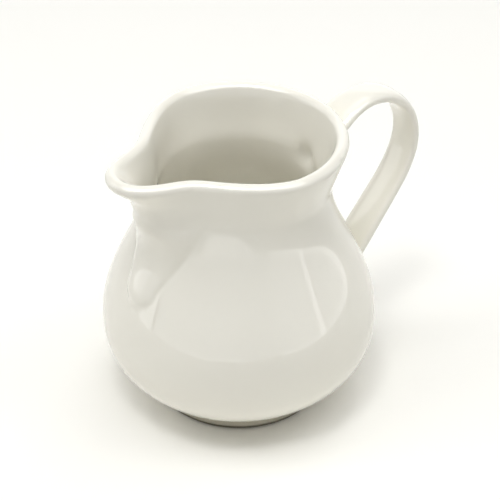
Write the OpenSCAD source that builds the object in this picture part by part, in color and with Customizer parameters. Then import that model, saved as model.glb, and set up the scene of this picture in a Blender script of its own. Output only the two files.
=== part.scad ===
// Glazed porcelain pitcher: a pear-shaped body on a foot ring, a beak-shaped spout set into a
// V-shaped notch in the neck, and a strap handle stuck on opposite it with slip.
// Millimetres. +Z up, the origin on the body's axis at the table, handle towards +X.

/* [Body] */
// Height from the table to the top of the rim
height = 100; // [84:1:120]
// Outer radius of the rim
rim_r = 36; // [32:0.5:42]
// Outer radius of the neck at its narrowest
neck_r = 31; // [26:0.5:33]
// Distance from the rim down to the narrowest part of the neck
neck_drop = 19; // [14:1:24]
// Outer radius of the belly at its widest
belly_r = 47; // [42:0.5:56]
// Height of the widest part of the belly above the table
belly_z = 30; // [25:1:36]
// Thickness of the wall
wall = 3.6; // [3:0.1:4.4]
// Thickness of the rounded lip
lip_t = 4.4; // [3.6:0.1:5.4]
// Thickness of the floor
floor_t = 4.5; // [3.6:0.1:6]
// Outward lean of the lip in degrees
lip_lean = 18; // [8:1:28]

/* [Foot ring] */
// Outer radius of the foot ring
foot_r = 29.4; // [25:0.2:34]
// Height of the foot ring
foot_h = 3.4; // [2.4:0.1:5]
// Width of the foot ring, measured across the ring
foot_w = 3.6; // [2.6:0.1:5]
// Radius of the foot ring's two lower edges
foot_edge = 0.8; // [0.3:0.1:1.2]

/* [Spout] */
// How far the spout's tip stands out beyond the round rim
spout_reach = 13.6; // [9:0.2:17]
// Distance from the rim down to the chin, where the spout's keel runs out on the belly
spout_drop = 50; // [42:1:56]
// How far the chin stands out from the belly
chin_out = 2.5; // [1.5:0.1:3.5]
// How far the keel stands out further at the neck
keel_out = 7.2; // [5:0.1:9]
// How far the neck is drawn in on each side of the spout
pinch = 4.2; // [2:0.1:5]
// Half width of the chin in degrees round the body
chin_half = 9; // [7:0.5:12]
// Half width of the spout at the lip, in degrees round the body
beak_half = 21; // [17:0.5:25]

/* [Handle] */
// Width of the strap
strap_w = 12.4; // [10:0.2:16]
// Thickness of the strap
strap_t = 4.6; // [3.8:0.1:5.6]
// Distance from the rim down to the strap's middle, where it leaves the neck
handle_drop = 15; // [13:0.5:20]
// Straight length of the strap before its top bend, measured outwards from the neck
handle_run = 11; // [8:0.5:14]
// Slope of that straight length in degrees
handle_rise = 36; // [25:1:42]
// Radius of the top bend, on the strap's middle
top_bend_r = 18.6; // [16:0.2:23]
// Radius of the bend at the back
back_bend_r = 22; // [18:0.5:27]
// Radius of the last, slow bend
low_bend_r = 40; // [33:1:48]

/* [Joints] */
// How far the slip reaches along the strap from the wall
slip_h = 2.2; // [1.5:0.1:3]
// How far the slip reaches round the strap
slip_w = 1.3; // [0.8:0.1:2]

/* [Hidden] */

glaze = "#e6e2d6";
slip = "#dcd7ca";
bisque = "#a8a492";

neck_z = height - neck_drop;
chin_z = height - spout_drop;
floor_z = foot_h + floor_t;

// Slope of the belly in degrees where it leaves the foot, and how far its curve keeps its
// direction at the foot and at the widest part
belly_lean = 41;
belly_low = 11.3;
belly_high = 15;
// Inside: how far the flat floor ends short of the foot's radius, how far its curve runs on
// outwards, and how far the curve keeps its direction below the widest part
floor_short = 8;
floor_run = 12;
inside_high = 13;
// Share of the belly-to-neck height that each end of the shoulder curve keeps its direction
shoulder_low = 0.387;
shoulder_high = 0.333;
// The same for the flare between the neck and the lip, as shares of the neck's drop
flare_low = 0.15;
flare_high = 0.55;
// Steps in each curve of the profile, and in the lip
curve_steps = 9;
lip_steps = 8;

// Angles that the strap's middle points in, after the top, the back and the last bend
top_end = -52;
back_end = -110;
low_end = -128;

// The notch in the neck that the spout closes: half widths at the bottom and past the rim, and
// how far its bottom edge lies under the chin
notch_half = 13;
notch_reach = 60;
notch_under = 4;
notch_over = 5;
notch_steep = 45;

// Shares of the way up from the chin to the rim between which the chin, the keel and the tip
// swell out, the neck is drawn in, and the edge of the spout softens
chin_swell = [0, 0.1];
keel_swell = [0.16, 0.72];
tip_swell = [0.8, 0.94];
pinch_swell = [0.5, 0.95];
soft_swell = [0, 0.9];
// How sharply the spout ends sideways, at the chin and at the lip
chin_sharp = 3.4;
beak_sharp = 2.4;
// Where the spout's outline starts on the shoulder curve, and how its loops crowd in its middle
spout_from = 0.2;
spout_crowding = 1.5;

// Loops of the spout on each side of its middle, and the strap's degrees per ring and steps
// round each edge
spout_loops = 12;
bend_step = 8;
edge_steps = 6;

// How far the ends of the strap run on inside the radii of the neck and the belly
tail = 10;

function bezier(a, b, c, d, t) =
    pow(1 - t, 3) * a + 3 * pow(1 - t, 2) * t * b + 3 * (1 - t) * t * t * c + pow(t, 3) * d;
function curve(a, b, c, d, from = 0) =
    [for (i = [1:curve_steps]) bezier(a, b, c, d, from + (1 - from) * i / curve_steps)];
function ease(span, x) =
    let (t = min(1, max(0, (x - span[0]) / (span[1] - span[0])))) t * t * (3 - 2 * t);

// The wall's side at an inset from the outside, from the belly up to the lip
function lip_mid() = [rim_r - lip_t / 2, height - lip_t / 2];
function shoulder(inset, from = 0) =
    let (r0 = belly_r - inset, r1 = neck_r - inset, span = neck_z - belly_z)
    curve([r0, belly_z], [r0, belly_z + shoulder_low * span],
          [r1, neck_z - shoulder_high * span], [r1, neck_z], from);
function neck(inset, side) =
    let (lean = [sin(lip_lean), cos(lip_lean)], r1 = neck_r - inset,
         end = lip_mid() + side * lip_t / 2 * [cos(lip_lean), -sin(lip_lean)])
    curve([r1, neck_z], [r1, neck_z + flare_low * neck_drop],
          end - flare_high * neck_drop * lean, end);
function lip() =
    [for (i = [1:lip_steps - 1])
        let (a = -lip_lean + 180 * i / lip_steps) lip_mid() + lip_t / 2 * [cos(a), sin(a)]];
function reversed(list) = [for (i = [len(list) - 1:-1:0]) list[i]];

// The belly from the foot up, outside and inside
function belly_outside(grow = 0) =
    curve([foot_r + grow, foot_h],
          [foot_r + grow, foot_h] + belly_low * [cos(belly_lean), sin(belly_lean)],
          [belly_r + grow, belly_z - belly_high], [belly_r + grow, belly_z]);
floor_r = foot_r - floor_short;
function belly_inside() =
    let (r0 = belly_r - wall)
    curve([floor_r, floor_z], [floor_r + floor_run, floor_z],
          [r0, belly_z - inside_high], [r0, belly_z]);

// Spout: how far the wall is moved outwards at a height and an angle from the spout's middle
function along(z) = (z - chin_z) / spout_drop;
function keel(z) =
    chin_out * ease(chin_swell, along(z)) + keel_out * ease(keel_swell, along(z))
    + (spout_reach - chin_out - keel_out) * ease(tip_swell, along(z));
function half_angle(z) = chin_half + (beak_half - chin_half) * min(1, max(0, along(z)));
function sharpness(z) = chin_sharp + (beak_sharp - chin_sharp) * ease(soft_swell, along(z));
function pull(z, a) =
    keel(z) * exp(-pow(abs(a) / half_angle(z), sharpness(z)))
    - pinch * ease(pinch_swell, along(z)) * pow(sin(2 * a), 2);

// Outline of the wall from near the chin over the lip and back down inside
spout_wall = concat(shoulder(0, spout_from), neck(0, 1), lip(), reversed(neck(wall, -1)),
                    reversed(shoulder(wall, spout_from)));
spout_angles =
    [for (i = [-spout_loops:spout_loops]) 90 * sign(i) * pow(abs(i) / spout_loops, spout_crowding)];

module profile(grow = 0) {
    polygon(concat([[0, foot_h], [foot_r + grow, foot_h]], belly_outside(grow), shoulder(-grow),
                   neck(-grow, 1 + 2 * grow / lip_t), [[0, height - lip_t / 2]]));
}

// Everything inside the body's outer face, with an allowance
module envelope(grow = 0) {
    rotate_extrude($fn = 96) profile(grow);
}

// The V-shaped piece of the front that the spout takes
module notch() {
    low = chin_z - notch_under;
    top = height + notch_over;
    outer = notch_reach;
    rise = (outer - notch_half) * tan(notch_steep);
    rotate([90, 0, -90])
        linear_extrude(notch_reach)
            polygon([[-notch_half, low], [notch_half, low], [outer, low + rise],
                     [outer, top + rise], [-outer, top + rise], [-outer, low + rise]]);
}

module body() {
    color(glaze) difference() {
        rotate_extrude($fn = 96)
            polygon(concat([[0, foot_h], [foot_r, foot_h]], belly_outside(), shoulder(0), neck(0, 1),
                           lip(), reversed(neck(wall, -1)), reversed(shoulder(wall)),
                           reversed(belly_inside()), [[floor_r, floor_z], [0, floor_z]]));
        notch();
    }
}

module spout() {
    n = len(spout_wall);
    loops = len(spout_angles);
    points = [for (a = spout_angles) for (p = spout_wall)
        let (r = p[0] + pull(p[1], a)) [-r * cos(a), r * sin(a), p[1]]];
    sides = [for (j = [0:loops - 2]) for (i = [0:n - 1])
        let (k = (i + 1) % n) [j * n + i, (j + 1) * n + i, (j + 1) * n + k, j * n + k]];
    // The ends are strips from the outer face across to the inner one, because the wall is curved
    last = (loops - 1) * n;
    ends = [for (i = [0:floor(n / 2) - 1])
        each [[i, i + 1, n - 2 - i, n - 1 - i],
              [last + n - 1 - i, last + n - 2 - i, last + i + 1, last + i]]];
    color(glaze) intersection() {
        polyhedron(points, concat(sides, ends), convexity = 6);
        notch();
    }
}

module foot_ring() {
    inner = foot_r - foot_w;
    // Each lower edge is a quarter round
    edge = [for (i = [0:edge_steps - 2])
        let (a = 90 * i / (edge_steps - 2)) foot_edge * [1 - cos(a), 1 - sin(a)]];
    color(bisque)
        rotate_extrude($fn = 96)
            polygon(concat([[inner, foot_h]], [for (e = edge) [inner + e[0], e[1]]],
                           [for (e = reversed(edge)) [foot_r - e[0], e[1]]], [[foot_r, foot_h]]));
}

// The strap's middle: a straight length off the neck, three bends and a straight length down to
// the belly. Both ends run on into the body, far enough to be trimmed by its outer face.
function way(a) = [cos(a), sin(a)];
function bent(from, start, end, radius, t = 1) =
    let (now = start + (end - start) * t)
    from + radius * [sin(start) - sin(now), cos(now) - cos(start)];

strap_start = [neck_r, height - handle_drop] - tail * way(handle_rise);
bend_1 = [neck_r, height - handle_drop] + handle_run / cos(handle_rise) * way(handle_rise);
bend_2 = bent(bend_1, handle_rise, top_end, top_bend_r);
bend_3 = bent(bend_2, top_end, back_end, back_bend_r);
bend_4 = bent(bend_3, back_end, low_end, low_bend_r);
low_length = (bend_4[0] - belly_r + tail) / -cos(low_end);

// Each entry is a point and the direction of travel there
function steps_round(from, start, end, radius) =
    let (n = ceil((start - end) / bend_step))
    [for (i = [1:n]) [bent(from, start, end, radius, i / n), start + (end - start) * i / n]];
strap_path = concat(
    [[strap_start, handle_rise], [bend_1, handle_rise]],
    steps_round(bend_1, handle_rise, top_end, top_bend_r),
    steps_round(bend_2, top_end, back_end, back_bend_r),
    steps_round(bend_3, back_end, low_end, low_bend_r),
    [[bend_4 + low_length * way(low_end), low_end]]);

// Section of the strap: flat faces with half-round edges. X is its thickness, Y its width.
strap_outline = [for (side = [1, -1]) for (i = [0:edge_steps])
    let (a = 180 * i / edge_steps)
    side * [strap_t / 2 * cos(a), (strap_w - strap_t) / 2 + strap_t / 2 * sin(a)]];

module strap() {
    n = len(strap_outline);
    rings = len(strap_path);
    points = [for (s = strap_path) for (p = strap_outline)
        [s[0][0] - p[0] * sin(s[1]), p[1], s[0][1] + p[0] * cos(s[1])]];
    sides = [for (j = [0:rings - 2]) for (i = [0:n - 1])
        let (k = (i + 1) % n) [j * n + i, (j + 1) * n + i, (j + 1) * n + k, j * n + k]];
    ends = [[for (i = [0:n - 1]) i], [for (i = [n - 1:-1:0]) (rings - 1) * n + i]];
    polyhedron(points, concat(sides, ends), convexity = 6);
}

module handle() {
    color(glaze) difference() {
        strap();
        envelope();
    }
}

// A straight length of strap, with an allowance all round
module straight(from, angle, length, grow = 0) {
    t = strap_t + 2 * grow;
    flat = strap_w - strap_t;
    translate([from[0], 0, from[1]])
        rotate([0, 90 - angle, 0])
            linear_extrude(length) {
                square([t, flat], center = true);
                for (side = [-1, 1])
                    translate([0, side * flat / 2]) circle(d = t, $fn = 48);
            }
}

// A band of slip round a straight end of the strap, where it meets the wall
module slip_band(from, angle, length) {
    color(slip) difference() {
        intersection() {
            straight(from, angle, length, slip_w);
            envelope(slip_h);
        }
        envelope();
        straight(from, angle, length);
    }
}

module handle_upper_joint() {
    slip_band(strap_start, handle_rise, norm(bend_1 - strap_start));
}
module handle_lower_joint() {
    slip_band(bend_4, low_end, low_length);
}

body();
spout();
foot_ring();
handle();
handle_upper_joint();
handle_lower_joint();
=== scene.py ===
import bpy, math
from mathutils import Matrix, Vector


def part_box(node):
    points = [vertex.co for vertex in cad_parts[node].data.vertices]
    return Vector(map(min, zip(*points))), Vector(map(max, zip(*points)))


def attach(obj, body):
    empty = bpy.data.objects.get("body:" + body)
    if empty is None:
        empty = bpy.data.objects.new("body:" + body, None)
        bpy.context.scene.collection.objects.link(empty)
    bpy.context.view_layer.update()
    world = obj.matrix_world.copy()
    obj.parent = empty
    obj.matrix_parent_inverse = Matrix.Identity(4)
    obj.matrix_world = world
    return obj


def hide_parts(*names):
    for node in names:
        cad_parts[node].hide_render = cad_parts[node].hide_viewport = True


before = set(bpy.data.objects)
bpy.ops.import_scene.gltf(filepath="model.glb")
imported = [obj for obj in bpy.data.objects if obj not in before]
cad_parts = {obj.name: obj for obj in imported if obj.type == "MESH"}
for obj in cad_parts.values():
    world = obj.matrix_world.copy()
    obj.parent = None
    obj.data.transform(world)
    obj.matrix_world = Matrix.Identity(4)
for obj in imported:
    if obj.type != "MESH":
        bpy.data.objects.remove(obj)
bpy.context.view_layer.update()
mm = 0.001

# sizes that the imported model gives
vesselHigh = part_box("body")[1]
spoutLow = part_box("spout")[0]
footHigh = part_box("foot_ring")[1]


# helpers that every piece uses
def deselectAll():
    if bpy.context.object and bpy.context.object.mode == "EDIT":
        bpy.ops.object.mode_set(mode="OBJECT")
    bpy.ops.object.select_all(action="DESELECT")


def useOnly(piece):
    deselectAll()
    piece.select_set(True)
    bpy.context.view_layer.objects.active = piece


def ease(start, end, x):
    t = min(1, max(0, (x - start) / (end - start)))
    return t * t * (3 - 2 * t)


def bezier(a, b, c, d, t):
    s = 1 - t
    return a * s ** 3 + b * 3 * s * s * t + c * 3 * s * t * t + d * t ** 3


def smoothThrough(points, x):
    # a curve without overshoot through (x, value) points, flat outside them
    if x <= points[0][0]:
        return points[0][1]
    if x >= points[-1][0]:
        return points[-1][1]
    slopes = []
    for i in range(len(points)):
        if i in (0, len(points) - 1):
            slopes.append(0)
            continue
        before = (points[i][1] - points[i - 1][1]) / (points[i][0] - points[i - 1][0])
        after = (points[i + 1][1] - points[i][1]) / (points[i + 1][0] - points[i][0])
        slopes.append(0 if before * after <= 0 else 2 * before * after / (before + after))
    for i in range(len(points) - 1):
        (x0, y0), (x1, y1) = points[i], points[i + 1]
        if x <= x1:
            w = x1 - x0
            t = (x - x0) / w
            return (y0 * (1 + 2 * t) * (1 - t) ** 2 + w * slopes[i] * t * (1 - t) ** 2
                    + y1 * t * t * (3 - 2 * t) + w * slopes[i + 1] * t * t * (t - 1))


def selectVertices(piece, chosen):
    # leaves the piece in edit mode with only these vertices selected
    useOnly(piece)
    bpy.ops.object.mode_set(mode="EDIT")
    bpy.ops.mesh.select_mode(type="VERT")
    bpy.ops.mesh.select_all(action="DESELECT")
    bpy.ops.object.mode_set(mode="OBJECT")
    for i in chosen:
        piece.data.vertices[i].select = True
    bpy.ops.object.mode_set(mode="EDIT")


def applyModifier(piece, kind, **settings):
    useOnly(piece)
    made = piece.modifiers.new(kind.title(), kind)
    for name, value in settings.items():
        setattr(made, name, value)
    bpy.ops.object.modifier_apply(modifier=made.name)


def copyOf(piece):
    twin = piece.copy()
    twin.data = piece.data.copy()
    bpy.context.scene.collection.objects.link(twin)
    return twin


def keepShading(piece, whole):
    # a cut piece keeps the smooth normals of the whole, so that no seam shows in the glaze
    applyModifier(piece, "DATA_TRANSFER", object=whole, use_loop_data=True,
                  data_types_loops={"CUSTOM_NORMAL"}, loop_mapping="POLYINTERP_NEAREST")


def closeUp(piece):
    # merges doubled vertices and turns the faces outwards
    useOnly(piece)
    bpy.ops.object.mode_set(mode="EDIT")
    bpy.ops.mesh.select_all(action="SELECT")
    bpy.ops.mesh.remove_doubles(threshold=0.01 * mm)
    bpy.ops.mesh.normals_make_consistent(inside=False)
    bpy.ops.object.mode_set(mode="OBJECT")


def verticesAt(piece, height):
    return [v.index for v in piece.data.vertices if abs(v.co.z - height) < 0.001 * mm]


def openRim(piece):
    # the vertices on edges that border one face only
    uses = {}
    for face in piece.data.polygons:
        for key in face.edge_keys:
            uses[key] = uses.get(key, 0) + 1
    return sorted({i for key, n in uses.items() if n == 1 for i in key})


def moveVertices(piece, place):
    for v in piece.data.vertices:
        v.co = place(v.co)
    piece.data.update()


def colour(hexCode):
    # sRGB hex to the linear colour that a socket takes
    parts = [int(hexCode[i:i + 2], 16) / 255 for i in (1, 3, 5)]
    return [c / 12.92 if c <= 0.04045 else ((c + 0.055) / 1.055) ** 2.4 for c in parts] + [1]


def addNode(tree, kind, settings=None, links=None):
    # settings go to the sockets that carry their names, or else to the node itself
    made = tree.nodes.new(kind)
    for name, value in (settings or {}).items():
        if name in made.inputs:
            made.inputs[name].default_value = value
        else:
            setattr(made, name, value)
    for name, source in (links or {}).items():
        tree.links.new(source, made.inputs[name])
    return made


def newMaterial(name):
    made = bpy.data.materials.new(name)
    made.use_nodes = True
    made.node_tree.nodes.clear()
    return made, made.node_tree


print("materials")
# hard-paste porcelain under a clear feldspar glaze, dipped and fired: warm white, evenly glossy,
# with the faint ripple that a glaze keeps where it ran before it set
glazeLook = {
    "white": "#f4f2e8",
    "thick": "#f1eee4",
    "roughness": 0.05,
    "ior": 1.52,
    "poolingSize": 24 * mm,     # patches where the glaze lies a little thicker
    "rippleSize": 9 * mm,
    "rippleDepth": 0.010 * mm,
}


def glazedPorcelain(look):
    material, tree = newMaterial("glazed porcelain")
    place = addNode(tree, "ShaderNodeTexCoord").outputs["Object"]
    pooling = addNode(tree, "ShaderNodeTexNoise",
                      {"Scale": 1 / look["poolingSize"], "Detail": 2.0, "Roughness": 0.45},
                      {"Vector": place})
    tint = addNode(tree, "ShaderNodeMix",
                   {"data_type": "RGBA"}, {"Factor": pooling.outputs["Fac"]})
    tint.inputs[6].default_value = colour(look["white"])
    tint.inputs[7].default_value = colour(look["thick"])
    ripple = addNode(tree, "ShaderNodeTexNoise",
                     {"Scale": 1 / look["rippleSize"], "Detail": 1.0, "Roughness": 0.4},
                     {"Vector": place})
    bump = addNode(tree, "ShaderNodeBump",
                   {"Strength": 1.0, "Distance": look["rippleDepth"]},
                   {"Height": ripple.outputs["Fac"]})
    shader = addNode(tree, "ShaderNodeBsdfPrincipled",
                     {"Roughness": look["roughness"], "IOR": look["ior"]},
                     {"Base Color": tint.outputs[2], "Normal": bump.outputs["Normal"]})
    addNode(tree, "ShaderNodeOutputMaterial", None, {"Surface": shader.outputs[0]})
    return material


# the same porcelain where the foot was wiped clean before firing: matt, a little darker, fine grained
bareLook = {
    "light": "#d6d1c0",
    "dark": "#bdb7a3",
    # painted contact shade: this dark colour stands in for the shade where the foot meets the table
    "contactShade": "#5f5946",
    "contactShadeHigh": (0.7 * mm, 1.7 * mm),      # painted shade at the foot's lower edge where it meets the table, full below and gone above
    "roughness": 0.75,
    "ior": 1.5,
    "grainSize": 0.5 * mm,      # ground clay is far finer: drawn as coarse as it needs to show
    "grainDepth": 0.03 * mm,
}


def barePorcelain(look):
    material, tree = newMaterial("bare porcelain")
    place = addNode(tree, "ShaderNodeTexCoord").outputs["Object"]
    grain = addNode(tree, "ShaderNodeTexNoise",
                    {"Scale": 1 / look["grainSize"], "Detail": 4.0}, {"Vector": place})
    tint = addNode(tree, "ShaderNodeMix", {"data_type": "RGBA"}, {"Factor": grain.outputs["Fac"]})
    tint.inputs[6].default_value = colour(look["light"])
    tint.inputs[7].default_value = colour(look["dark"])
    height = addNode(tree, "ShaderNodeSeparateXYZ", None, {"Vector": place}).outputs["Z"]
    # painted shade: the foot darkens towards its lower edge, where it meets the table
    unshaded = addNode(tree, "ShaderNodeMapRange",
                    {"interpolation_type": "SMOOTHSTEP", "From Min": look["contactShadeHigh"][0],
                     "From Max": look["contactShadeHigh"][1]}, {"Value": height})
    tintWithShade = addNode(tree, "ShaderNodeMix", {"data_type": "RGBA"}, {"Factor": unshaded.outputs["Result"]})
    tintWithShade.inputs[6].default_value = colour(look["contactShade"])
    tree.links.new(tint.outputs[2], tintWithShade.inputs[7])
    bump = addNode(tree, "ShaderNodeBump", {"Strength": 0.6, "Distance": look["grainDepth"]},
                   {"Height": grain.outputs["Fac"]})
    shader = addNode(tree, "ShaderNodeBsdfPrincipled",
                     {"Roughness": look["roughness"], "IOR": look["ior"]},
                     {"Base Color": tintWithShade.outputs[2], "Normal": bump.outputs["Normal"]})
    addNode(tree, "ShaderNodeOutputMaterial", None, {"Surface": shader.outputs[0]})
    return material


glaze = glazedPorcelain(glazeLook)
bisque = barePorcelain(bareLook)


def finishPiece(piece, name, material, node):
    piece.name = name
    piece.data.name = name
    piece.data.materials.clear()
    piece.data.materials.append(material)
    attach(piece, "root")
    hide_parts(node)


# vessel: the thrown pot, from foot to lip
vessel = {
    "height": vesselHigh.z,
    "bellyRadius": vesselHigh.y,
    "bellyHeight": 30 * mm,
    "rimRadius": 36 * mm,
    "neckRadius": 31 * mm,
    "neckDrop": 19 * mm,
    "footRadius": footHigh.y,
    "footHeight": footHigh.z,
    "footRise": (11.3 * mm, 41),        # how far and how steeply, in degrees, the wall leaves the foot
    "bellyPull": 15 * mm,       # how far the wall keeps upright below the belly
    "shoulderPull": 0.387,      # the same above the belly and below the neck, as shares of the rise
    "neckPull": 0.333,
    "flarePull": (2.6 * mm, 11 * mm),       # the same above the neck, and how far the lip's lean runs down
    "lipLean": 18,      # degrees
    "wall": 3.6 * mm,
    "lip": 4.3 * mm,
    "lipThickens": (84, 96),        # heights in mm between which the wall grows to the lip's thickness
    "lipSteps": 10,
    "profileSteps": (18, 34, 14),
    "bottomRings": 7,
    "columns": 140,
    "spoutCrowding": 0.38,      # near 0 the columns stand closer together at the spout, 1 is even
    "sinkMark": (81 * mm, 4.2 * mm, 2.1 * mm),      # height, radius, depth, inside the handle's root
}
# how far the spout's crest stands out from the round wall, by height, in mm
crestOut = [(49.0, 2.4), (60.0, 2.3), (64.0, 2.6), (69.0, 3.8), (72.0, 4.8), (80.0, 7.8),
            (88.5, 7.9), (93.0, 9.4), (98.0, spoutLow.x / -mm - 37.1)]
# the pulled spout: heights and lengths in mm, angles in degrees off its crest
spout = {
    "low": 46.0,
    "tongueStart": 57.0,        # height where the tongue's rounded end begins
    "tongueEnd": 7.5,       # length of the rounded end
    "tongueHalf": 11.3,     # half width there
    "tongueWidening": 0.87,     # degrees per mm of height
    "tongueFullness": 0.7,      # below 1 the tongue's sides are steeper
    "tongueFade": (40, 80),
    "creaseSoftness": 0.07,     # of the turn where the tongue meets the wall
    "creaseDepth": 0.35,
    "creaseWidth": 0.12,        # as a share of the tongue's half width
    "beakRise": (68, 88),       # heights between which the tongue becomes the beak
    "beakHalf": 20.0,
    "beakSharpness": 2.8,
    "pinch": 3.9,       # how far the wall is pressed in on both sides of the beak
    "pinchRise": (74, 98),
    "pinchSharpness": 1.31,
    "lipSlope": (95, 98),       # heights between which the lip's slope is measured
    "lipSink": (88, 97),        # heights between which the leaning lip is lowered to the rim's level
    "tipDrop": 0.16,
}


def wallProfile():
    # radius and height up the outside, from the foot to half way up the lip
    v = vessel
    lean, rise = math.radians(v["lipLean"]), math.radians(v["footRise"][1])
    half = v["lip"] / 2
    foot = Vector((v["footRadius"], v["footHeight"]))
    belly = Vector((v["bellyRadius"], v["bellyHeight"]))
    neck = Vector((v["neckRadius"], v["height"] - v["neckDrop"]))
    span = neck.y - belly.y
    edge = Vector((v["rimRadius"] - half, v["height"] - half))
    edge += half * Vector((math.cos(lean), -math.sin(lean)))
    upwards = Vector((math.sin(lean), math.cos(lean)))
    start, end = v["flarePull"]
    low = [foot, foot + v["footRise"][0] * Vector((math.cos(rise), math.sin(rise))),
           belly - Vector((0, v["bellyPull"])), belly]
    shoulder = [belly, belly + Vector((0, v["shoulderPull"] * span)),
                neck - Vector((0, v["neckPull"] * span)), neck]
    flare = [neck, neck + Vector((0, start)), edge - end * upwards, edge]
    points = [foot]
    for part, steps in zip((low, shoulder, flare), v["profileSteps"]):
        points += [bezier(*part, i / steps) for i in range(1, steps + 1)]
    return points


def spoutOut(z, angle):
    # how far the wall is pulled outwards, in mm
    a = abs(angle)
    out = smoothThrough(crestOut, z)
    half = spout["tongueHalf"] + spout["tongueWidening"] * max(0, z - spout["tongueStart"])
    below = max(0, spout["tongueStart"] - z) / spout["tongueEnd"]
    hump = 1 - (a / half) ** 2 - below ** 2
    lifted = (hump + math.hypot(hump, spout["creaseSoftness"])) / 2
    tongue = out * lifted ** spout["tongueFullness"] * (1 - ease(*spout["tongueFade"], a))
    tongue -= spout["creaseDepth"] * math.exp(-(hump / spout["creaseWidth"]) ** 2)
    beak = out * math.exp(-(a / spout["beakHalf"]) ** spout["beakSharpness"])
    up = ease(*spout["beakRise"], z)
    pinched = 0
    if a <= 90:
        press = abs(math.sin(math.radians(2 * a))) ** spout["pinchSharpness"]
        pinched = spout["pinch"] * ease(*spout["pinchRise"], z) * press
    return (1 - up) * tongue + up * beak - pinched


def turnProfile(profile, columns):
    # a ring of vertices at the first (radius, height), extruded through the others
    radius, height = profile[0]
    deselectAll()
    bpy.ops.mesh.primitive_circle_add(vertices=columns, radius=radius, location=(0, 0, height))
    piece = bpy.context.object
    bpy.ops.object.transform_apply(location=True, rotation=True, scale=True)
    bpy.ops.object.mode_set(mode="EDIT")
    bpy.ops.mesh.select_all(action="SELECT")
    for below, here in zip(profile, profile[1:]):
        bpy.ops.mesh.extrude_edges_move(TRANSFORM_OT_translate={"value": (0, 0, here[1] - below[1])})
        grow = here[0] / below[0]
        bpy.ops.transform.resize(value=(grow, grow, 1), center_override=(0, 0, 0))
    bpy.ops.object.mode_set(mode="OBJECT")
    return piece


def crowdColumns(co):
    # the columns stand closer together towards the spout
    away = math.atan2(co.y, -co.x) / math.pi
    crowd = vessel["spoutCrowding"]
    angle = math.pi * (crowd * away + (1 - crowd) * away ** 3)
    radius = math.hypot(co.x, co.y)
    return Vector((-radius * math.cos(angle), radius * math.sin(angle), co.z))


def closeBottom(piece):
    # the underside runs in rings towards the axis, and a fan closes it
    foot, rings = vessel["footHeight"], vessel["bottomRings"]
    selectVertices(piece, verticesAt(piece, foot))
    for k in range(rings, 0, -1):
        share = k / (k + 1)
        bpy.ops.mesh.extrude_edges_move(TRANSFORM_OT_translate={"value": (0, 0, 0)})
        bpy.ops.transform.resize(value=(share, share, 1), center_override=(0, 0, foot))
    bpy.ops.mesh.edge_face_add()
    bpy.ops.mesh.poke()
    bpy.ops.object.mode_set(mode="OBJECT")


def pullSpout(co):
    z, radius = co.z / mm, math.hypot(co.x, co.y) / mm
    angle = math.degrees(math.atan2(co.y, -co.x))
    if z < spout["low"]:
        return co
    low, high = spout["lipSlope"]
    lean = math.radians(vessel["lipLean"])
    slope = (spoutOut(high, angle) - spoutOut(low, angle)) / (high - low) + math.tan(lean)
    sink = vessel["lip"] / mm / 2 * (math.sin(math.atan(slope)) - math.sin(lean))
    sink += spout["tipDrop"] * math.exp(-(angle / spout["beakHalf"]) ** 2)
    grown = (radius + spoutOut(z, angle)) / radius
    return Vector((co.x * grown, co.y * grown, co.z - sink * ease(*spout["lipSink"], z) * mm))


def addWall(piece):
    # the wall grows inwards, a little thicker at the lip; vertex i of the outside faces i + count inside
    group = piece.vertex_groups.new(name="thickness")
    thin = vessel["wall"] / vessel["lip"]
    for v in piece.data.vertices:
        group.add([v.index], thin + (1 - thin) * ease(*vessel["lipThickens"], v.co.z / mm), "REPLACE")
    count = len(piece.data.vertices)
    applyModifier(piece, "SOLIDIFY", thickness=vessel["lip"], offset=-1, use_even_offset=True,
                  use_rim=False, vertex_group="thickness")
    height, radius, depth = vessel["sinkMark"]
    for v in piece.data.vertices[count:]:
        if v.co.x > 0:
            away = math.hypot(v.co.y, v.co.z - height)
            v.co.x += depth * math.exp(-(away / radius) ** 2)
    return count


def extrudeRing(piece, ring):
    # extrudes the edges between the ring's vertices; returns {old vertex: new vertex}
    selectVertices(piece, ring)
    bpy.ops.mesh.extrude_edges_move(TRANSFORM_OT_translate={"value": (0, 0, 0)})
    bpy.ops.object.mode_set(mode="OBJECT")
    places = {tuple(piece.data.vertices[i].co): i for i in ring}
    return {places[tuple(v.co)]: v.index for v in piece.data.vertices if v.select}


def roundLip(piece, count):
    # a half round from the outer edge over to the inner one
    ring = [i for i in openRim(piece) if i < count]
    arcs = []
    for i in ring:
        outside = piece.data.vertices[i].co.copy()
        inside = piece.data.vertices[i + count].co.copy()
        across = (outside - inside) / 2
        along = Vector((0, 0, 1)).cross(across).normalized()
        up = across.cross(along).normalized() * across.length
        arcs.append(((outside + inside) / 2, across, up if up.z > 0 else -up))
    for k in range(1, vessel["lipSteps"] + 1):
        new = extrudeRing(piece, ring)
        turn = math.pi * k / vessel["lipSteps"]
        ring = [new[i] for i in ring]
        for i, (middle, across, up) in zip(ring, arcs):
            piece.data.vertices[i].co = middle + across * math.cos(turn) + up * math.sin(turn)
    closeUp(piece)


print("vessel")
pot = turnProfile(wallProfile(), vessel["columns"])
moveVertices(pot, crowdColumns)
closeBottom(pot)
moveVertices(pot, pullSpout)
applyModifier(pot, "SUBSURF", levels=1, render_levels=1)
roundLip(pot, addWall(pot))
useOnly(pot)
bpy.ops.object.shade_smooth()
print("vessel faces", len(pot.data.polygons))

# the spout closes a notch in the pot, whose sides open at 45 degrees
notch = {
    "half": 13 * mm,        # half width at its bottom
    "low": spout["low"] * mm,
    "high": 110 * mm,
    "deep": 70 * mm,
}


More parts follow.
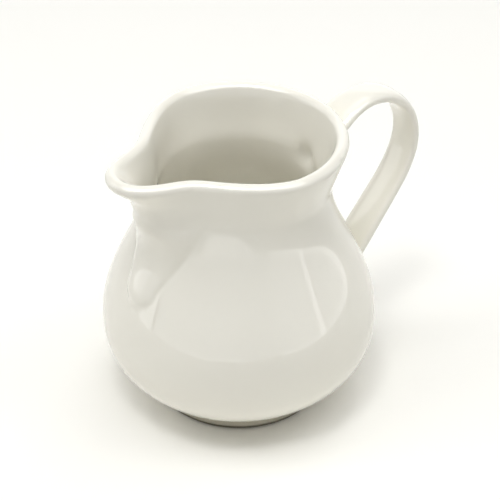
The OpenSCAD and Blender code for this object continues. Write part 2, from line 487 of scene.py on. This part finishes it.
def buildNotch():
    deselectAll()
    bpy.ops.mesh.primitive_plane_add(size=1)
    wedge = bpy.context.object
    for v in wedge.data.vertices:
        up = v.co.x > 0
        half = notch["half"] + (notch["high"] - notch["low"] if up else 0)
        v.co = (0, math.copysign(half, v.co.y), notch["high"] if up else notch["low"])
    bpy.ops.object.mode_set(mode="EDIT")
    bpy.ops.mesh.select_all(action="SELECT")
    bpy.ops.mesh.extrude_region_move(TRANSFORM_OT_translate={"value": (-notch["deep"], 0, 0)})
    bpy.ops.object.mode_set(mode="OBJECT")
    closeUp(wedge)
    return wedge


def cutByNotch(operation, wedge):
    piece = copyOf(pot)
    applyModifier(piece, "BOOLEAN", operation=operation, object=wedge, solver="MANIFOLD")
    keepShading(piece, pot)
    return piece


def cutPot():
    wedge = buildNotch()
    potBody = cutByNotch("DIFFERENCE", wedge)
    potSpout = cutByNotch("INTERSECT", wedge)
    bpy.data.objects.remove(wedge)
    finishPiece(potBody, "potBody", glaze, "body")
    finishPiece(potSpout, "potSpout", glaze, "spout")
    print("body faces", len(potBody.data.polygons), "spout faces", len(potSpout.data.polygons))


# foot ring: the bare ring that the pot stands on, with its lower edges rounded
footRing = {
    "outer": footHigh.x,
    "width": 3.6 * mm,
    "height": footHigh.z,
    "edge": 0.8 * mm,
    "edgeSteps": 6,
    "columns": 128,
    "sharpFrom": 40,        # degrees past which an edge stays sharp
}


def buildFootRing():
    size = footRing
    inner = size["outer"] - size["width"]
    turns = [math.pi / 2 * k / size["edgeSteps"] for k in range(size["edgeSteps"] + 1)]
    edge = [(size["edge"] * (1 - math.cos(t)), size["edge"] * (1 - math.sin(t))) for t in turns]
    section = [(inner, size["height"])] + [(inner + across, up) for across, up in edge]
    section += [(size["outer"] - across, up) for across, up in reversed(edge)]
    section.append((size["outer"], size["height"]))
    piece = turnProfile(section, size["columns"])
    selectVertices(piece, verticesAt(piece, size["height"]))
    bpy.ops.mesh.bridge_edge_loops()
    bpy.ops.object.mode_set(mode="OBJECT")
    closeUp(piece)
    useOnly(piece)
    bpy.ops.object.shade_smooth_by_angle(angle=math.radians(size["sharpFrom"]))
    return piece


print("foot ring")
finishPiece(buildFootRing(), "footRing", bisque, "foot_ring")

# handle: a pulled strap, wider where it was luted on, with its roots smoothed into the wall
handle = {
    "thickness": 4.6 * mm,
    # full width by length along the strap
    "widths": [(-5 * mm, 15.0 * mm), (6 * mm, 13.95 * mm), (26 * mm, 11.8 * mm), (66 * mm, 12.4 * mm),
               (108 * mm, 13.8 * mm)],
    "flatness": (0.72, 0.82),       # below 1 the section is squarer, through the strap and across it
    "outline": 32,
    "start": (vessel["neckRadius"], 85 * mm),
    "rise": 36,     # degrees
    "run": 11 * mm,
    "runSteps": 3,
    # radius and the direction at the end of each bend
    "bends": [(18.6 * mm, -52), (22 * mm, -110), (40 * mm, -128)],
    "step": 7,      # degrees
    "tailStep": 3 * mm,
    "rootClear": 5.5 * mm,      # where the fillet begins, before the wall
    "rootLength": 3.2 * mm,
    "rootSpread": 2.4 * mm,
    "rootSunk": 0.6 * mm,
    "rootSteps": 5,
    "rootCut": 0.8 * mm,        # the joint ends this far up the strap from its fillet
    "blockHalf": 17 * mm,       # half the side of the block that cuts it off
}


def heading(degrees):
    return Vector((math.cos(math.radians(degrees)), 0, math.sin(math.radians(degrees))))


def squarer(x, flatness):
    return math.copysign(abs(x) ** flatness, x)


def addSection(place):
    # the strap's cross section, filled, at its upper end
    size = handle
    rise = math.radians(size["rise"])
    deselectAll()
    bpy.ops.mesh.primitive_circle_add(vertices=size["outline"], radius=1, fill_type="NGON")
    piece = bpy.context.object
    for v in piece.data.vertices:
        a = math.atan2(v.co.y, v.co.x)
        deep = squarer(math.cos(a), size["flatness"][0]) * size["thickness"] / 2
        across = squarer(math.sin(a), size["flatness"][1]) * smoothThrough(size["widths"], 0) / 2
        v.co = place + Vector((-deep * math.sin(rise), across, deep * math.cos(rise)))
    return piece


def growStrap(move, gone, further):
    # extrudes the last section, gives it the width that belongs there, returns the length so far
    bpy.ops.mesh.extrude_region_move(TRANSFORM_OT_translate={"value": move})
    grow = smoothThrough(handle["widths"], gone + further) / smoothThrough(handle["widths"], gone)
    bpy.ops.transform.resize(value=(1, grow, 1), center_override=(0, 0, 0))
    return gone + further


def buildHandle():
    size = handle
    way = size["rise"]
    place = Vector((size["start"][0], 0, size["start"][1])) + heading(way) * size["rootClear"]
    piece = addSection(place)
    bpy.ops.object.mode_set(mode="EDIT")
    bpy.ops.mesh.select_mode(type="FACE")
    bpy.ops.mesh.select_all(action="SELECT")
    gone = 0
    length = size["run"] / math.cos(math.radians(way)) - size["rootClear"]
    for i in range(size["runSteps"]):
        move = heading(way) * length / size["runSteps"]
        gone = growStrap(move, gone, move.length)
        place = place + move
    for radius, end in size["bends"]:
        steps = math.ceil((way - end) / size["step"])
        turn = math.radians(way - end) / steps
        middle = place + radius * heading(way - 90)
        for i in range(steps):
            gone = growStrap((0, 0, 0), gone, radius * turn)
            bpy.ops.transform.rotate(value=-turn, orient_axis="Y", center_override=middle)
            place = middle + Matrix.Rotation(turn, 3, "Y") @ (place - middle)
        way = end
    # straight on until the lower root begins
    found, hit, normal, index = pot.ray_cast(place, heading(way))
    length = (hit - place).length - size["rootClear"]
    steps = math.ceil(length / size["tailStep"])
    for i in range(steps):
        gone = growStrap(heading(way) * length / steps, gone, length / steps)
    # both ends are opened for the roots
    bpy.ops.mesh.delete(type="ONLY_FACE")
    selectVertices(piece, range(size["outline"]))
    bpy.ops.mesh.delete(type="ONLY_FACE")
    bpy.ops.object.mode_set(mode="OBJECT")
    return piece


def growRoot(piece, way, end):
    # the end ring runs on to the wall, turns out along it in a fillet and sinks under the glaze
    size = handle
    middle = centreOf(piece, end)
    paths = {}
    for i in end:
        start = piece.data.vertices[i].co.copy()
        found, corner, normal, index = pot.ray_cast(start, way)
        away = start - middle
        away = (away - away.dot(normal) * normal).normalized()
        found, foot, normal, index = pot.closest_point_on_mesh(corner + away * size["rootSpread"])
        before = corner - way * size["rootLength"]
        shares = [k / size["rootSteps"] for k in range(size["rootSteps"] + 1)]
        paths[i] = [before * (1 - t) ** 2 + corner * 2 * t * (1 - t) + foot * t * t for t in shares]
        paths[i].append(foot + (away - normal) * size["rootSunk"])
    ring = {i: i for i in end}
    for k in range(size["rootSteps"] + 2):
        new = extrudeRing(piece, sorted(ring.values()))
        ring = {i: new[j] for i, j in ring.items()}
        for i, j in ring.items():
            piece.data.vertices[j].co = paths[i][k]


def openEnds(piece):
    # the upper and the lower open ring
    rim = openRim(piece)
    split = sum(piece.data.vertices[i].co.z for i in rim) / len(rim)
    return ([i for i in rim if piece.data.vertices[i].co.z > split],
            [i for i in rim if piece.data.vertices[i].co.z < split])


def closeEnds(piece, ends):
    for end in ends:
        selectVertices(piece, end)
        bpy.ops.mesh.edge_face_add()
        bpy.ops.object.mode_set(mode="OBJECT")


def cutAcross(piece, place, way, operation):
    # cuts the strap with a block that stands beyond the cut, over one root
    half = handle["blockHalf"]
    deselectAll()
    bpy.ops.mesh.primitive_cube_add(size=2 * half, location=place + half * way,
                                    rotation=way.to_track_quat("Z", "Y").to_euler())
    block = bpy.context.object
    bpy.ops.object.transform_apply(location=True, rotation=True, scale=True)
    applyModifier(piece, "BOOLEAN", operation=operation, object=block, solver="MANIFOLD")
    bpy.data.objects.remove(block)


def cutStrap(roots):
    middle = copyOf(strap)
    for name, place, way, node in roots:
        root = copyOf(strap)
        cutAcross(root, place, way, "INTERSECT")
        keepShading(root, strap)
        finishPiece(root, name, glaze, node)
        cutAcross(middle, place, way, "DIFFERENCE")
    keepShading(middle, strap)
    finishPiece(middle, "strapHandle", glaze, "handle")


def centreOf(piece, ring):
    return sum((piece.data.vertices[i].co for i in ring), Vector()) / len(ring)


print("handle")
bpy.context.view_layer.update()
strap = buildHandle()
upper, lower = openEnds(strap)
upperWay, lowerWay = -heading(handle["rise"]), heading(handle["bends"][-1][1])
roots = [("upperHandleJoint", centreOf(strap, upper) - upperWay * handle["rootCut"], upperWay,
          "handle_upper_joint"),
         ("lowerHandleJoint", centreOf(strap, lower) - lowerWay * handle["rootCut"], lowerWay,
          "handle_lower_joint")]
growRoot(strap, upperWay, upper)
growRoot(strap, lowerWay, lower)
closeEnds(strap, openEnds(strap))
closeUp(strap)
applyModifier(strap, "SUBSURF", levels=2, render_levels=2)
useOnly(strap)
bpy.ops.object.shade_smooth()

print("cutting the pieces apart")
cutPot()
cutStrap(roots)
for whole in (pot, strap):
    bpy.data.objects.remove(whole)

# floor, light and camera
studio = {
    "floorSize": 1.4,
    "floorWhite": "#fdfcf8",
    "floorRoughness": 0.9,
    "floorShine": 0.2,
    "surround": "#fffffe",
    "surroundStrength": 0.14,
    "backdropStrength": 0.93,
    "lightsAim": 0.05,      # height that the softboxes face
    "lens": 126,
    "sensor": 36,
    "distance": 484.62 * mm,
    "cameraHeight": 393.84 * mm,
    "pitch": -35.03,
    "aside": 0.45,      # degrees, as are the pitch and the turn round the table
    "turn": 35.5,
}
# power in watts, width and height, azimuth from the camera round to its right, elevation, distance,
# and whether the glaze mirrors it
softboxes = {
    "topSoftbox": (8.4, (1.2, 1.2), 0, 90, 1.2, True),
    "keySoftbox": (2.3, (0.26, 0.22), -22, 71, 1.2, True),
    "backRightSoftbox": (1.1, (0.3, 0.3), 140, 66, 1.2, False),
    "leftSoftbox": (2.7, (0.7, 0.7), -90, 50, 1.2, False),
    "rightSoftbox": (2.2, (0.7, 0.7), 90, 50, 1.2, False),
    "lowLeftSoftbox": (0.35, (0.6, 0.4), -95, 25, 1.2, False),
    "lowFrontSoftbox": (0.15, (0.9, 0.3), 0, 25, 1.0, False),
}
# white cards standing round the table, which only show in the glaze: radiance, the two azimuths
# that each reaches between, distance
cards = {
    "frontCard": (1.5, -70, 31, 0.42),
    "frontRightCard": (1.85, 31, 70, 0.42),
    "rightCard": (1.6, 66, 115, 0.45),
    "leftCard": (2.1, -115, -72, 0.45),
    "backCard": (1.2, 120, 240, 0.55),
}
cardHigh = 0.5
# a long white card over the camera, which whitens the lip, and the hot middle of the key light
highCards = {
    "canopy": (6.0, (2.0, 0.8), 0, 62, 1.1),
    "keyMiddle": (45.0, (0.24, 0.16), -22, 71, 1.15),
}


def buildFloor():
    deselectAll()
    bpy.ops.mesh.primitive_plane_add(size=studio["floorSize"])
    floor = bpy.context.object
    floor.name = "floor"
    material, tree = newMaterial("matt card")
    shader = addNode(tree, "ShaderNodeBsdfPrincipled",
                     {"Base Color": colour(studio["floorWhite"]), "Roughness": studio["floorRoughness"],
                      "Specular IOR Level": studio["floorShine"]})
    addNode(tree, "ShaderNodeOutputMaterial", None, {"Surface": shader.outputs[0]})
    floor.data.materials.append(material)


def aroundTable(azimuth, elevation, distance):
    # a place seen from the object's foot, with azimuth 0 towards the camera
    a, e = math.radians(azimuth), math.radians(elevation)
    place = distance * Vector((math.sin(a) * math.cos(e), -math.cos(a) * math.cos(e), math.sin(e)))
    return Matrix.Rotation(math.radians(-studio["turn"]), 3, "Z") @ place


def addSoftbox(name, power, size, place, aim):
    light = bpy.data.lights.new(name, "AREA")
    light.energy = power
    light.shape = "RECTANGLE"
    light.size, light.size_y = size
    light.color = colour(studio["surround"])[:3]
    lamp = bpy.data.objects.new(name, light)
    bpy.context.scene.collection.objects.link(lamp)
    lamp.location = place
    lamp.rotation_euler = (aim - place).to_track_quat("-Z", "Y").to_euler()
    return lamp


def addLights():
    middle = Vector((0, 0, studio["lightsAim"]))
    for name, (power, size, azimuth, elevation, distance, mirrored) in softboxes.items():
        lamp = addSoftbox(name, power, size, aroundTable(azimuth, elevation, distance), middle)
        lamp.visible_glossy = mirrored
    centre = Vector((0, 0, cardHigh / 2))
    for name, (radiance, start, end, distance) in cards.items():
        width = 2 * distance * math.tan(math.radians(end - start) / 2)
        place = aroundTable((start + end) / 2, 0, distance) + centre
        addCard(name, radiance, (width, cardHigh), place, centre)
    for name, (radiance, size, azimuth, elevation, distance) in highCards.items():
        addCard(name, radiance, size, aroundTable(azimuth, elevation, distance), middle)


def addCard(name, radiance, size, place, aim):
    card = addSoftbox(name, radiance * math.pi * size[0] * size[1], size, place, aim)
    card.visible_diffuse = False
    card.visible_camera = False


def addCamera():
    turn = math.radians(studio["turn"])
    pitch = math.radians(studio["pitch"])
    aside = math.radians(studio["aside"])
    camera = bpy.data.cameras.new("camera")
    camera.lens = studio["lens"]
    camera.sensor_width = studio["sensor"]
    camera.clip_start = 0.01
    rig = bpy.data.objects.new("camera", camera)
    bpy.context.scene.collection.objects.link(rig)
    rig.location = (-studio["distance"] * math.sin(turn), -studio["distance"] * math.cos(turn),
                    studio["cameraHeight"])
    way = Vector((math.sin(aside) * math.cos(pitch), math.cos(aside) * math.cos(pitch), math.sin(pitch)))
    way = Matrix.Rotation(-turn, 3, "Z") @ way
    rig.rotation_euler = way.to_track_quat("-Z", "Y").to_euler()
    bpy.context.scene.camera = rig
    bpy.context.scene.view_settings.view_transform = "Standard"


def addSurround():
    world = bpy.data.worlds.new("studio")
    bpy.context.scene.world = world
    world.use_nodes = True
    tree = world.node_tree
    tree.nodes.clear()
    light = addNode(tree, "ShaderNodeBackground",
                    {"Color": colour(studio["surround"]), "Strength": studio["surroundStrength"]})
    backdrop = addNode(tree, "ShaderNodeBackground",
                       {"Color": colour(studio["surround"]), "Strength": studio["backdropStrength"]})
    seen = addNode(tree, "ShaderNodeLightPath").outputs["Is Camera Ray"]
    both = addNode(tree, "ShaderNodeMixShader", None, {"Fac": seen})
    tree.links.new(light.outputs[0], both.inputs[1])
    tree.links.new(backdrop.outputs[0], both.inputs[2])
    addNode(tree, "ShaderNodeOutputWorld", None, {"Surface": both.outputs[0]})


print("floor, light and camera")
buildFloor()
addSurround()
addLights()
addCamera()
